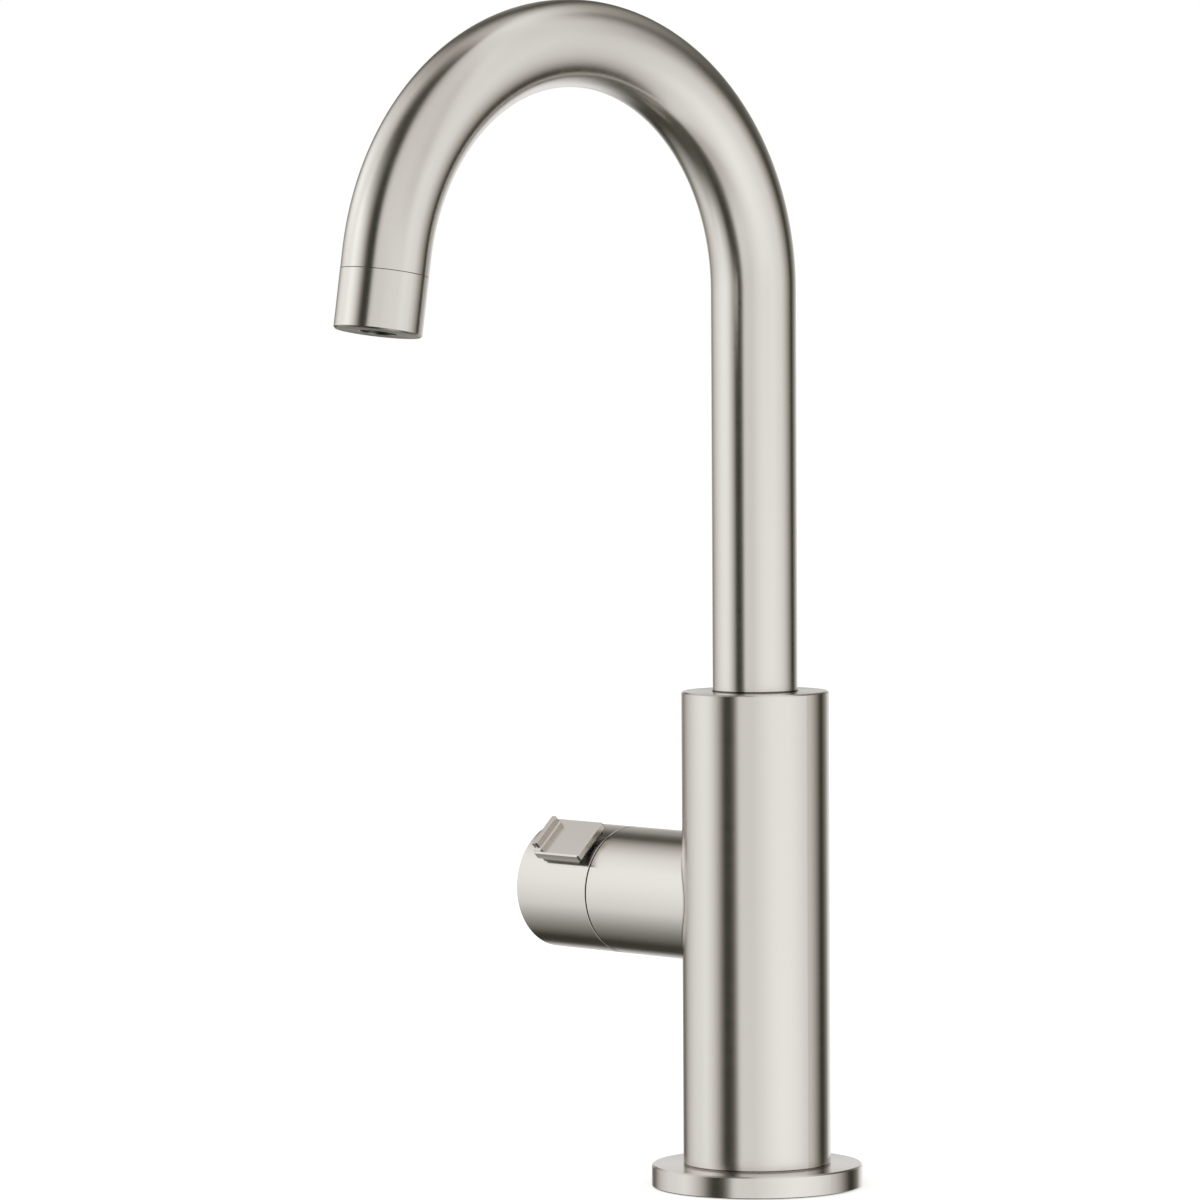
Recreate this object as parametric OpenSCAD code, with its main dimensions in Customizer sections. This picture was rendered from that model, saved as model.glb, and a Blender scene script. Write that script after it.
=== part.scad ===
// Single-hole hot water faucet: a round column on a thin flange, a tall swivel arch of tube that
// ends in a short nozzle, and a side hub whose outer cap turns a quarter-turn ceramic cartridge.
// Up is +Z and z = 0 is the deck. The spout reaches towards -Y and the hub points along -X.
// Under the deck a hollow threaded shank carries the washers and the nut, and leads to the inlet.

/* [Spout] */
// Outside diameter of the spout tube (7/8 in)
tube_d = 22.2; // [18:0.1:25]
// Wall of the spout tube
tube_wall = 1.2; // [0.9:0.1:1.6]
// Radius of the arch, to the middle of the tube
arch_r = 63.1; // [50:0.1:85]
// Angle that the arch sweeps
arch_sweep = 171; // [160:0.5:180]
// Height of the centre of the arch above the deck
arch_h = 234.2; // [200:0.1:290]
// Straight tube between the arch and the nozzle
tip_len = 4.7; // [4:0.1:30]
// Length of the nozzle
nozzle_len = 15; // [12:0.1:22]
// Diameter of the hole that the water leaves by
outlet_d = 8.2; // [7:0.1:10]
// Thickness of the nozzle's face round that hole
nozzle_face = 4; // [3:0.1:5]
// Outside diameter of the inner hose that carries the water through the arch
hose_d = 8; // [7:0.1:9]
// Bore of the inner hose
hose_bore = 5; // [3:0.1:6]

/* [Swivel] */
// How much smaller in radius the journal is than the inside of the tube
journal_step = 0.6; // [0.4:0.1:1.2]
// Length of the journal below the end of the tube
journal_len = 18; // [15:0.5:22]
// Length of the journal soldered inside the tube
solder_len = 12; // [8:0.5:20]
// Wall of the bush round the tube
bush_wall = 3; // [2:0.1:3.4]
// Length of the bush
bush_len = 7; // [5:0.1:12]
// Thickness of the washer that the tube turns on
thrust_t = 1.5; // [1:0.1:2.5]
// Metal lip over the bush at the top of the column
lip_t = 2.5; // [1.5:0.1:4]

/* [Column] */
// Diameter of the column
body_d = 38.6; // [37.4:0.1:46]
// Wall of the column
body_wall = 2.5; // [2:0.1:3]
// Height of the top of the column above the deck
body_h = 129.7; // [122:0.1:160]
// Diameter of the flange
flange_d = 55.2; // [53:0.1:70]
// Thickness of the flange
flange_t = 5.7; // [4:0.1:8]
// Width of the small bevels that break the visible edges
edge = 0.4; // [0.2:0.05:0.6]

/* [Hub] */
// Diameter of the hub and of its cap
hub_d = 33.8; // [33:0.1:36]
// Height of the hub's axis above the deck
hub_h = 74.4; // [66:0.1:80]
// Distance from the column's axis to the seam between hub and cap
seam_u = 47.7; // [45:0.1:60]
// Open gap of that seam
seam_gap = 0.4; // [0.2:0.05:0.6]
// Length of the cap outside the seam
cap_len = 27.5; // [25:0.1:36]
// Wall of the hub sleeve
hub_wall = 2; // [1.6:0.1:2.4]

/* [Thumb plate] */
// Angle of the plate forward of the top, with the water shut off
plate_angle = 43.6; // [20:0.1:60]
// Width of the plate across the cap
plate_w = 12.6; // [9:0.1:16]
// Length of the plate along the cap
plate_len = 17.7; // [16:0.1:22]
// Thickness of the plate
plate_t = 2.3; // [1.8:0.1:3]
// Gap between the plate's underside and the highest line of the cap
plate_lift = 0.6; // [0.4:0.1:2]
// Distance from the seam to the inner end of the plate
plate_start = 1.6; // [1:0.1:4]
// Inset of the raised lip from each side of the plate
lip_inset = 1.2; // [0.8:0.05:2.5]
// Height of the raised lip
lip_h = 2.25; // [1.5:0.05:4]
// Length of the raised lip along the cap
lip_len = 2.2; // [1.6:0.1:3]
// Diameter of the two dowels that locate the plate in the cap
dowel_d = 3; // [2:0.1:4]

/* [Cartridge] */
// Outside diameter of the cartridge where it enters the valve body
cart_d = 18.1; // [17:0.1:18.4]
// Diameter of the fixed ceramic disc
disc_d = 15; // [14:0.1:15.4]
// Thickness of each ceramic disc
disc_t = 2.5; // [2:0.1:3.5]
// Angle of each of the two ports in a disc
port_angle = 80; // [60:1:84]
// Angle that the handle turns from shut to fully open
turn_angle = 90; // [70:1:90]
// Diameter of the stem
stem_d = 8; // [7:0.1:8.6]
// Number of teeth in the spline at the stem's end
spline_n = 20; // [12:1:28]
// Thickness of the rubber seat seal
seat_t = 2; // [1.5:0.1:3]

/* [Deck] */
// Thickness of the deck between flange and washer
deck_t = 30; // [10:1:40]
// Outside diameter of the threaded shank (M28)
shank_d = 28; // [26:0.1:30]
// Bore of the shank
shank_bore = 23.5; // [20:0.1:24]
// Thickness of the rubber deck washer
rubber_t = 3; // [2:0.1:5]
// Thickness of the steel clamp washer
steel_t = 2; // [1.5:0.1:4]
// Diameter of the two deck washers
washer_d = 47; // [42:0.1:48]
// Width across the flats of the mounting nut
nut_af = 36; // [34:0.5:42]
// Height of the mounting nut
nut_h = 10; // [7:0.1:14]
// Free end of the shank below the nut
shank_tail = 13; // [8:1:30]
// Bore of the threaded inlet port, the core diameter of an M10 x 1 thread
inlet_d = 9; // [8.5:0.1:10]
// Depth of the threaded inlet port
inlet_len = 12; // [9:0.5:16]

/* [Fits] */
// Radial gap between fixed pieces that slide together
slide_fit = 0.05; // [0.03:0.01:0.1]
// Radial gap between a turning journal and its bearing
running_fit = 0.05; // [0.03:0.01:0.1]
// Gap between turning and fixed pieces that don't bear on each other
free_gap = 0.3; // [0.25:0.05:0.5]

/* [Hidden] */
$fn = 96;
eps = 0.01;

// Colours of the pieces
nickel = [0.78, 0.76, 0.72];
brass = [0.76, 0.62, 0.36];
steel = [0.62, 0.63, 0.64];
rubber = [0.10, 0.10, 0.11];
polymer = [0.92, 0.92, 0.90];
ceramic = [0.95, 0.93, 0.88];
teal = [0.20, 0.30, 0.31];

// Spout tube and swivel
tube_r = tube_d / 2;
tube_in_r = tube_r - tube_wall;
journal_r = tube_in_r - journal_step;
bush_in_r = tube_r + running_fit;
bush_out_r = bush_in_r + bush_wall;
seat_top_z = body_h - lip_t - bush_len - thrust_t;
tube_foot_z = seat_top_z + thrust_t + running_fit;
journal_foot_z = seat_top_z - journal_len;
socket_floor_z = journal_foot_z - 2;
hose_foot_z = tube_foot_z + solder_len / 3;
bend_loss = 0.015;
nose_len = 2;
nose_drop = 0.06;
journal_ring_d = 1.5;
journal_ring_drop = [9, 13.5];
screw_groove_drop = 4.4;

// Column and the core inside it
body_r = body_d / 2;
shell_in_r = body_r - body_wall;
core_r = shell_in_r - slide_fit;
collar_h = 6;
core_foot_z = flange_t + collar_h + free_gap;
core_plug_h = 10;
core_pipe_r = 8.5;
core_block_drop = 18.5;
rise_r = 2.5;
rise_x = 3;
flange_bore_r = shank_d / 2 + 4 * slide_fit;
gasket_in_r = washer_d / 2 - 4.5;
gasket_out_r = washer_d / 2 + slide_fit;
gasket_t = 1.6;

// Hub sleeve, measured along u, outward from the column's axis
hub_r = hub_d / 2;
hub_bore_r = hub_r - hub_wall;
cart_r = cart_d / 2;
chamber_r = cart_r + slide_fit;
spigot_r = chamber_r + 3.8;
web_u = body_r + 1.2;

// Cartridge, stacked outward from its seat
seat_u = 1.5;
fixed_u = seat_u + seat_t;
moving_u = fixed_u + disc_t;
foot_u = moving_u + disc_t;
bar_h = 2.5;
plate_u = foot_u + bar_h;
plate_h = 1;
cavity_u = plate_u + plate_h + 0.1;
stop_h = 2.3;
pocket_u = cavity_u + stop_h + 0.2;
cavity_r = disc_d / 2 + 0.1;
moving_r = disc_d / 2 - 0.2;
port_r = [1.6, disc_d / 2 - 1.5];
window_u = [moving_u + 0.3, plate_u - 0.3];
slot_w = 3;
slot_l = disc_d - 4.6;
slot_h = 1;
lug_w = 3;
cart_flange_u = web_u;
cart_flange_t = 2.5;
neck_r = stem_d / 2 + 3;
neck_u = seam_u - 12.9;
nut_u = cart_flange_u + cart_flange_t;
nut_thread = 4;
nut_hex = 5;
cart_ring_d = 1;
cart_ring_u = cavity_u + 0.8;

// Stem
stem_r = stem_d / 2;
stem_bore_r = stem_r + running_fit;
stem_ring_d = 1.1;
stem_ring_u = [pocket_u + 3.5, pocket_u + 7.5];
slip_t = 0.5;
clip_u = neck_u + slip_t + 0.2;
clip_t = 1;
clip_groove = 0.8;
stop_angle = 30;
stop_margin = 1.5;
stop_r = stem_r + 2.4;
spline_r = stem_r - 0.1;
spline_u = clip_u + clip_t + 1;
tooth_h = 0.45;

// Cap, its socket and its set screw
cap_u = seam_u + seam_gap;
cap_end_u = cap_u + cap_len;
guide_wall = 1.5;
guide_out_r = hub_bore_r - slide_fit;
guide_in_r = guide_out_r - guide_wall;
cap_spigot_r = guide_in_r - running_fit;
guide_len = 7;
cap_foot_u = seam_u - guide_len + 0.2;
cap_recess_r = cap_spigot_r - 2;
socket_u = cap_u + 3.8;
stem_end_u = socket_u + 12;
socket_end_u = stem_end_u + 1.5;
cap_screw_u = socket_u + 6;
screw_d = 4;
screw_len = 9.5;

// Thumb plate
plate_low = hub_r + plate_lift;
plate_top = plate_low + plate_t;
plate_in_u = cap_u + plate_start;
plate_end_u = plate_in_u + plate_len;
foot_inset = 0.6;
foot_in_u = plate_in_u + 2.2;
foot_end_u = plate_end_u - 1.3;
bevel = 0.4;
corner = 0.45;
heel_h = 0.8;
heel_len = 1.1;
lip_in_u = plate_end_u - lip_len;
lip_w = plate_w - 2 * lip_inset;
dowel_depth = 4;
dowel_u = [plate_in_u + 4, plate_in_u + 11.5];

// Deck hardware
rubber_z = -deck_t;
steel_z = rubber_z - rubber_t;
nut_z = steel_z - steel_t;
shank_foot_z = nut_z - nut_h - shank_tail;
hardware_in_r = shank_d / 2 + 4 * slide_fit;

// Nozzle, measured along s from the end of the arch
spigot_len = 6;
spigot_out_r = tube_in_r - slide_fit;
nozzle_bore_r = spigot_out_r - 3;
nozzle_face_s = tip_len + nozzle_len - nozzle_face;
straightener_t = 2.2;
straightener_depth = 1.2;
hose_end_s = nozzle_face_s - 3;
nozzle_ring_d = 1.2;

// Solid between two heights, with small bevels on its outer edges
module turned(r, z0, z1, b0 = 0, b1 = 0) {
    rotate_extrude()
        polygon([[0, z0], [r - b0, z0], [r, z0 + b0], [r, z1 - b1], [r - b1, z1], [0, z1]]);
}

// Plain ring between two heights
module ring(out_r, in_r, z0, z1) {
    difference() {
        translate([0, 0, z0]) cylinder(r = out_r, h = z1 - z0);
        translate([0, 0, z0 - 1]) cylinder(r = in_r, h = z1 - z0 + 2);
    }
}

// Plain round hole between two heights
module hole(r, z0, z1) {
    translate([0, 0, z0]) cylinder(r = r, h = z1 - z0);
}

// Rubber ring of round section, seated on the floor of its groove
module o_ring(floor_r, section_d, z) {
    translate([0, 0, z])
        rotate_extrude()
            translate([floor_r + section_d / 2, 0]) circle(d = section_d, $fn = 32);
}

// Groove for a rubber ring, cut into a shaft of radius r
module ring_groove(r, floor_r, section_d, z) {
    ring(r + 1, floor_r, z - section_d * 0.6, z + section_d * 0.6);
}

// Slice of a ring between two angles
module sector(in_r, out_r, z0, z1, a0, a1) {
    translate([0, 0, z0])
        rotate([0, 0, a0])
            rotate_extrude(angle = a1 - a0)
                translate([in_r, 0]) square([out_r - in_r, z1 - z0]);
}

// Puts a shape drawn along +Z onto the hub's axis, with its +X side up
module on_hub() {
    translate([0, 0, hub_h]) rotate([0, -90, 0]) children();
}

// Turns a shape drawn on the hub's axis to the side of the thumb plate
module at_plate() {
    rotate([0, 0, -plate_angle]) children();
}

// Places a shape at distance s past the end of the arch, pointing the way the water leaves
module at_tip(s) {
    end_y = -arch_r + arch_r * cos(arch_sweep);
    end_z = arch_h + arch_r * sin(arch_sweep);
    translate([0, end_y, end_z])
        rotate([arch_sweep, 0, 0])
            translate([0, 0, s]) children();
}

// Straight run that leaves an end of the arch along +Z. Its nose tapers away inside the arch.
module straight_run(r, len) {
    rotate_extrude()
        polygon([[0, -nose_len], [r - nose_drop, -nose_len], [r, 0], [r, len], [0, len]]);
}

// Sweeps a circle up the column, round the arch and down to the tip. Bending leaves the section
// of the arch a hair slimmer than the two straight runs.
module swept(r, z0, s1) {
    translate([0, 0, arch_h]) mirror([0, 0, 1]) straight_run(r, arch_h - z0);
    translate([0, -arch_r, arch_h])
        rotate([90, 0, 90])
            rotate_extrude(angle = arch_sweep)
                translate([arch_r, 0]) circle(r = r - bend_loss);
    at_tip(0) straight_run(r, s1);
}

// Toothed outline of a spline; grow widens it for the matching socket
module spline_outline(r, grow = 0) {
    step = 360 / spline_n;
    root_r = r - tooth_h;
    polygon([
        for (i = [0:spline_n - 1], k = [0:3])
            let (a = (i + [0.08, 0.42, 0.58, 0.92][k]) * step,
                 q = (k < 2 ? r : root_r) + grow)
            [q * cos(a), q * sin(a)]
    ]);
}

// Headless screw with a hexagon socket, its tip at z = 0; the tip can be a smaller dog point
module set_screw(d, len, tip_d) {
    tip_len = 1.8;
    difference() {
        union() {
            cylinder(d = tip_d, h = tip_len + eps);
            translate([0, 0, tip_len]) cylinder(d = d, h = len - tip_len);
        }
        translate([0, 0, len - 2]) cylinder(d = d / 2, h = 3, $fn = 6);
    }
}

// Fixed pieces of the column

module base_flange() {
    color(nickel)
        difference() {
            turned(flange_d / 2, 0, flange_t, edge / 2, edge);
            hole(flange_bore_r, -1, flange_t + 1);
            ring(gasket_out_r, gasket_in_r, -1, gasket_t);
        }
}

module base_gasket() {
    color(rubber)
        ring(gasket_out_r - slide_fit, gasket_in_r + slide_fit, 0, gasket_t);
}

module body_shell() {
    color(nickel)
        difference() {
            turned(body_r, flange_t, body_h, edge / 2, edge);
            hole(shell_in_r, flange_t - 1, seat_top_z);
            hole(bush_out_r + slide_fit, seat_top_z - 1, body_h - lip_t);
            hole(tube_r + free_gap, body_h - lip_t - 1, body_h + 1);
            on_hub() hole(spigot_r + slide_fit, body_r / 2, body_r + 5);
            back_screw_way(screw_d / 2 + slide_fit);
        }
}

// Way for the screw that keeps the spout down, through the back of the column
module back_screw_way(r) {
    translate([0, 0, seat_top_z - screw_groove_drop])
        rotate([-90, 0, 0]) hole(r, journal_r / 2, body_r + 5);
}

module valve_body() {
    block_z = hub_h - core_block_drop;
    color(brass)
        difference() {
            union() {
                hole(core_r, core_foot_z, core_foot_z + core_plug_h);
                hole(core_pipe_r, core_foot_z, block_z + 1);
                hole(core_r, block_z, seat_top_z);
            }
            // Waist between the cartridge block and the spout's socket
            ring(core_r + 1, core_r - 2, hub_h + core_block_drop - 2, socket_floor_z - 2);
            // Inlet port, the rise beside it and the way to the seat
            hole(inlet_d / 2, core_foot_z - 1, core_foot_z + inlet_len);
            translate([rise_x, 0, 0]) hole(rise_r, core_foot_z + inlet_len - 1, hub_h);
            on_hub() hole(rise_r + 0.5, -rise_x, seat_u + 1);
            // Chamber of the cartridge, with a relief round its windows
            on_hub() hole(chamber_r, seat_u, body_r);
            on_hub() hole(chamber_r + 1.2, moving_u - 0.5, plate_u + 0.2);
            // Way up to the socket of the spout
            translate([-(moving_u + plate_u) / 2 + 1, 0, 0]) hole(rise_r - 0.3, hub_h, socket_floor_z + 1);
            hole(journal_r + running_fit, socket_floor_z, seat_top_z + 1);
            back_screw_way(screw_d / 2 + slide_fit);
        }
}

module mounting_shank() {
    color(brass)
        difference() {
            union() {
                hole(core_r, flange_t + free_gap, core_foot_z);
                turned(shank_d / 2, shank_foot_z, core_foot_z - 1, 0.8, 0);
            }
            hole(shank_bore / 2, shank_foot_z - 1, core_foot_z + 1);
        }
}

module hub_sleeve() {
    color(nickel)
        difference() {
            union() {
                difference() {
                    on_hub() turned(hub_r, 0, seam_u, 0, edge / 4);
                    hole(body_r, hub_h - hub_d, hub_h + hub_d);
                }
                difference() {
                    on_hub() hole(spigot_r, shell_in_r / 2, body_r);
                    hole(shell_in_r, hub_h - hub_d, hub_h + hub_d);
                }
            }
            on_hub() hole(chamber_r + 0.1, 0, web_u + 1);
            on_hub() hole(hub_bore_r, web_u, seam_u + 1);
        }
}

module swivel_bush() {
    color(polymer)
        ring(bush_out_r, bush_in_r, seat_top_z + thrust_t, seat_top_z + thrust_t + bush_len);
}

module thrust_washer() {
    color(polymer)
        ring(bush_out_r, journal_r + free_gap, seat_top_z, seat_top_z + thrust_t);
}

module spout_set_screw() {
    tip_y = journal_r - 1.5 + free_gap;
    color(steel)
        translate([0, tip_y, seat_top_z - screw_groove_drop])
            rotate([-90, 0, 0]) set_screw(screw_d, body_r - 0.8 - tip_y, screw_d * 0.6);
}

// Deck hardware

module deck_washer() {
    color(rubber)
        ring(washer_d / 2, hardware_in_r, rubber_z - rubber_t, rubber_z);
}

module clamp_washer() {
    color(steel)
        ring(washer_d / 2 - 0.5, hardware_in_r, steel_z - steel_t, steel_z);
}

module mounting_nut() {
    color(brass)
        difference() {
            intersection() {
                translate([0, 0, nut_z - nut_h])
                    cylinder(d = nut_af / cos(30), h = nut_h, $fn = 6);
                turned(nut_af / 2 / cos(30) - 0.3, nut_z - nut_h, nut_z, 1.4, 0);
            }
            hole(shank_d / 2 + slide_fit, nut_z - nut_h - 1, nut_z + 1);
        }
}

// Fixed pieces of the cartridge

module cartridge_housing() {
    color(brass)
        on_hub()
            difference() {
                union() {
                    hole(cart_r, fixed_u + slide_fit, cart_flange_u + 1);
                    hole(hub_bore_r - slide_fit, cart_flange_u, nut_u);
                    hole(neck_r, nut_u - 1, neck_u);
                }
                hole(cavity_r, fixed_u - 1, cavity_u);
                hole(stem_bore_r, cavity_u - 1, neck_u + 1);
                stop_pocket();
                // Two windows that let the water out sideways
                for (a = [45, 225])
                    sector(cavity_r - 1, cart_r + 1, window_u[0], window_u[1], a, a + 90);
                // Two slots that hold the fixed disc's lugs
                for (a = [0, 180])
                    rotate([0, 0, a])
                        translate([0, -lug_w / 2 - slide_fit, fixed_u - 1])
                            cube([cart_r - 0.4, lug_w + 2 * slide_fit, disc_t + 1 + slide_fit]);
                ring_groove(cart_r, cart_r - cart_ring_d, cart_ring_d, cart_ring_u);
            }
}

// Pocket in which the stem's stop lug travels
module stop_pocket() {
    at_plate()
        sector(
            stem_r - 0.5, stop_r + free_gap, cavity_u - 0.5, pocket_u,
            -stop_angle / 2 - stop_margin, turn_angle + stop_angle / 2 + stop_margin
        );
}

module housing_o_ring() {
    color(rubber)
        on_hub() o_ring(cart_r - cart_ring_d, cart_ring_d, cart_ring_u);
}

module retaining_nut() {
    hex_end_u = nut_u + nut_thread + nut_hex;
    color(brass)
        on_hub()
            difference() {
                union() {
                    hole(hub_bore_r - slide_fit, nut_u, nut_u + nut_thread);
                    translate([0, 0, nut_u])
                        cylinder(r = hub_bore_r - 1.1, h = hex_end_u - nut_u, $fn = 6);
                }
                hole(neck_r + free_gap, nut_u - 1, hex_end_u + 1);
            }
}

module seat_seal() {
    color(rubber)
        on_hub() ring(chamber_r - slide_fit, port_r[1] + 0.3, seat_u, seat_u + seat_t);
}

// Two opposite ports of a ceramic disc, centred on an angle from the thumb plate
module ports(u0, u1, mid) {
    for (a = [mid, mid + 180])
        sector(port_r[0], port_r[1], u0 - 1, u1 + 1, a - port_angle / 2, a + port_angle / 2);
}

module fixed_disc() {
    color(ceramic)
        on_hub()
            difference() {
                union() {
                    hole(disc_d / 2, fixed_u, moving_u);
                    for (a = [0, 180])
                        rotate([0, 0, a])
                            translate([0, -lug_w / 2, fixed_u])
                                cube([cart_r - 0.5, lug_w, disc_t]);
                }
                at_plate() ports(fixed_u, moving_u, turn_angle);
            }
}

module glide_ring() {
    color(polymer)
        on_hub() ring(guide_out_r, guide_in_r, seam_u - guide_len, seam_u - 0.6);
}

// Spout pieces

module spout_tube() {
    color(nickel)
        difference() {
            swept(tube_r, tube_foot_z, tip_len);
            swept(tube_in_r, tube_foot_z - 1, tip_len + 1);
        }
}

module spout_journal() {
    groove_z = seat_top_z - screw_groove_drop;
    color(brass)
        difference() {
            union() {
                turned(journal_r, journal_foot_z, tube_foot_z + 1, 0.6, 0);
                turned(tube_in_r - slide_fit, tube_foot_z, tube_foot_z + solder_len, 0, 0.6);
            }
            for (drop = journal_ring_drop)
                ring_groove(journal_r, journal_r - journal_ring_d, journal_ring_d, seat_top_z - drop);
            ring(journal_r + 1, journal_r - 1.5, groove_z - screw_d * 0.3 - free_gap,
                groove_z + screw_d * 0.3 + free_gap);
            hole(hose_bore / 2, journal_foot_z - 1, tube_foot_z + solder_len + 1);
            hole(hose_d / 2 + slide_fit, hose_foot_z, tube_foot_z + solder_len + 1);
        }
}

module journal_o_rings() {
    color(rubber)
        for (drop = journal_ring_drop)
            o_ring(journal_r - journal_ring_d, journal_ring_d, seat_top_z - drop);
}

module inner_hose() {
    color(polymer)
        difference() {
            swept(hose_d / 2, hose_foot_z, hose_end_s);
            swept(hose_bore / 2, hose_foot_z - 1, hose_end_s + 1);
        }
}

module nozzle_shell() {
    color(nickel)
        at_tip(0)
            difference() {
                union() {
                    turned(tube_r, tip_len, tip_len + nozzle_len, edge / 2, edge);
                    hole(spigot_out_r, tip_len - spigot_len, tip_len + 1);
                }
                hole(nozzle_bore_r, tip_len - spigot_len - 1, nozzle_face_s);
                hole(outlet_d / 2, nozzle_face_s - 1, tip_len + nozzle_len + 1);
                // Bevelled rim round the outlet
                translate([0, 0, tip_len + nozzle_len - 0.7])
                    cylinder(r1 = outlet_d / 2, r2 = outlet_d / 2 + 0.9, h = 0.9);
                ring_groove(spigot_out_r, spigot_out_r - nozzle_ring_d, nozzle_ring_d, tip_len - 2.5);
            }
}

module nozzle_o_ring() {
    color(rubber)
        at_tip(0) o_ring(spigot_out_r - nozzle_ring_d, nozzle_ring_d, tip_len - 2.5);
}

module nozzle_insert() {
    color(polymer)
        at_tip(0)
            difference() {
                hole(nozzle_bore_r - slide_fit, tip_len - spigot_len + 2, nozzle_face_s);
                hole(hose_d / 2 + slide_fit, tip_len - spigot_len, hose_end_s);
                hole(hose_bore / 2, hose_end_s - 1, nozzle_face_s + 1);
            }
}

module flow_straightener() {
    face_s = tip_len + nozzle_len - straightener_depth;
    hole_r = outlet_d / 15;
    color(teal)
        at_tip(0)
            difference() {
                union() {
                    hole(outlet_d / 2 - slide_fit, face_s - straightener_t, face_s);
                    ring(outlet_d / 2 - slide_fit, outlet_d / 2 - 0.8, nozzle_face_s, face_s);
                }
                hole(hole_r, nozzle_face_s - 1, face_s + 1);
                for (a = [0:60:300])
                    rotate([0, 0, a])
                        translate([outlet_d * 0.27, 0, 0]) hole(hole_r, nozzle_face_s - 1, face_s + 1);
            }
}

// Handle pieces

module handle_cap() {
    color(nickel)
        on_hub()
            difference() {
                union() {
                    turned(hub_r, cap_u, cap_end_u, edge / 2, edge);
                    hole(cap_spigot_r, cap_foot_u, cap_u + 1);
                }
                hole(cap_recess_r, cap_foot_u - 1, socket_u);
                translate([0, 0, socket_u - 1])
                    linear_extrude(socket_end_u - socket_u + 1) spline_outline(spline_r, slide_fit);
                // Screw hole on the side away from the thumb plate
                at_plate()
                    translate([0, 0, cap_screw_u])
                        rotate([0, -90, 0]) hole(screw_d / 2 + slide_fit, stem_r / 2, hub_r + 1);
                at_plate()
                    for (u = dowel_u)
                        translate([0, 0, u])
                            rotate([0, 90, 0])
                                hole(dowel_d / 2 + slide_fit, hub_r - dowel_depth, hub_r + 1);
            }
}

module thumb_plate() {
    color(nickel)
        on_hub()
            at_plate() {
                difference() {
                    union() {
                        plate_slab();
                        plate_lip();
                        // Foot, set back from the edges, that stands on the cap
                        translate([hub_r / 2, -plate_w / 2 + foot_inset, foot_in_u])
                            cube([plate_low - hub_r / 2 + eps, plate_w - 2 * foot_inset,
                                foot_end_u - foot_in_u]);
                    }
                    hole(hub_r, cap_u - 5, cap_end_u + 5);
                }
                for (u = dowel_u)
                    translate([0, 0, u])
                        rotate([0, 90, 0])
                            hole(dowel_d / 2, hub_r - dowel_depth + 0.2, plate_low + eps);
            }
}

// Side view of a shape on the plate, as heights and distances along the cap, drawn out sideways
module side_view(width, outline) {
    rotate([90, 0, 0])
        translate([0, 0, -width / 2])
            linear_extrude(width) polygon(outline);
}

// End view of a shape on the plate, as heights and widths, drawn out along the cap
module end_view(outline) {
    translate([0, 0, plate_in_u - 2])
        linear_extrude(plate_len + 4) polygon(outline);
}

// Upright block that cuts the four corners of a shape of this width at 45 degrees
module cut_corners(width, u0, u1, c) {
    over = 0.3;
    mid_u = (u0 + u1) / 2;
    reach_u = (u1 - u0) / 2;
    rotate([0, 90, 0])
        translate([0, 0, plate_low - 1])
            linear_extrude(plate_t + lip_h + 2)
                polygon([
                    for (at = [[1, 1], [1, -1], [-1, -1], [-1, 1]], k = [0, 1])
                        let (first = (at[0] * at[1] > 0) == (k == 0),
                             u = first ? reach_u - c - over : reach_u + over,
                             w = first ? width / 2 + over : width / 2 - c - over)
                        [-mid_u - at[0] * u, at[1] * w]
                ]);
}

// Flat slab with bevelled upper edges and a rounded heel under its outer end
module plate_slab() {
    half = plate_w / 2;
    intersection() {
        side_view(plate_w + 2, concat(
            [
                [plate_low, plate_in_u + bevel],
                [plate_low + bevel, plate_in_u],
                [plate_top - bevel, plate_in_u],
                [plate_top, plate_in_u + bevel],
                [plate_top, plate_end_u]
            ],
            [
                for (a = [0:18:90])
                    [plate_low + heel_h * (1 - sin(a)), plate_end_u - heel_len * (1 - cos(a))]
            ]
        ));
        end_view([
            [plate_low - 1, -half],
            [plate_top - bevel, -half],
            [plate_top + 1, -half + bevel + 1],
            [plate_top + 1, half - bevel - 1],
            [plate_top - bevel, half],
            [plate_low - 1, half]
        ]);
        cut_corners(plate_w, plate_in_u, plate_end_u, corner);
    }
}

// Raised lip at the outer end, on a low tapered plinth
module plate_lip() {
    half = lip_w / 2 + 0.35;
    lip_top = plate_top + lip_h;
    intersection() {
        side_view(lip_w, [
            [plate_top - eps, lip_in_u],
            [lip_top - 0.15, lip_in_u],
            [lip_top, lip_in_u + 0.15],
            [lip_top - 0.25, plate_end_u - 0.3],
            [lip_top - 0.55, plate_end_u],
            [plate_top - eps, plate_end_u]
        ]);
        cut_corners(lip_w, lip_in_u, plate_end_u, bevel);
    }
    intersection() {
        side_view(lip_w + 2, [
            [plate_top - eps, lip_in_u - 0.35],
            [plate_top + 0.7, lip_in_u + 0.36],
            [plate_top + 0.7, plate_end_u - 1],
            [plate_top - eps, plate_end_u - 0.3]
        ]);
        end_view([
            [plate_top - eps, -half],
            [plate_top + 0.7, -half + 0.71],
            [plate_top + 0.7, half - 0.71],
            [plate_top - eps, half]
        ]);
    }
}

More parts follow.
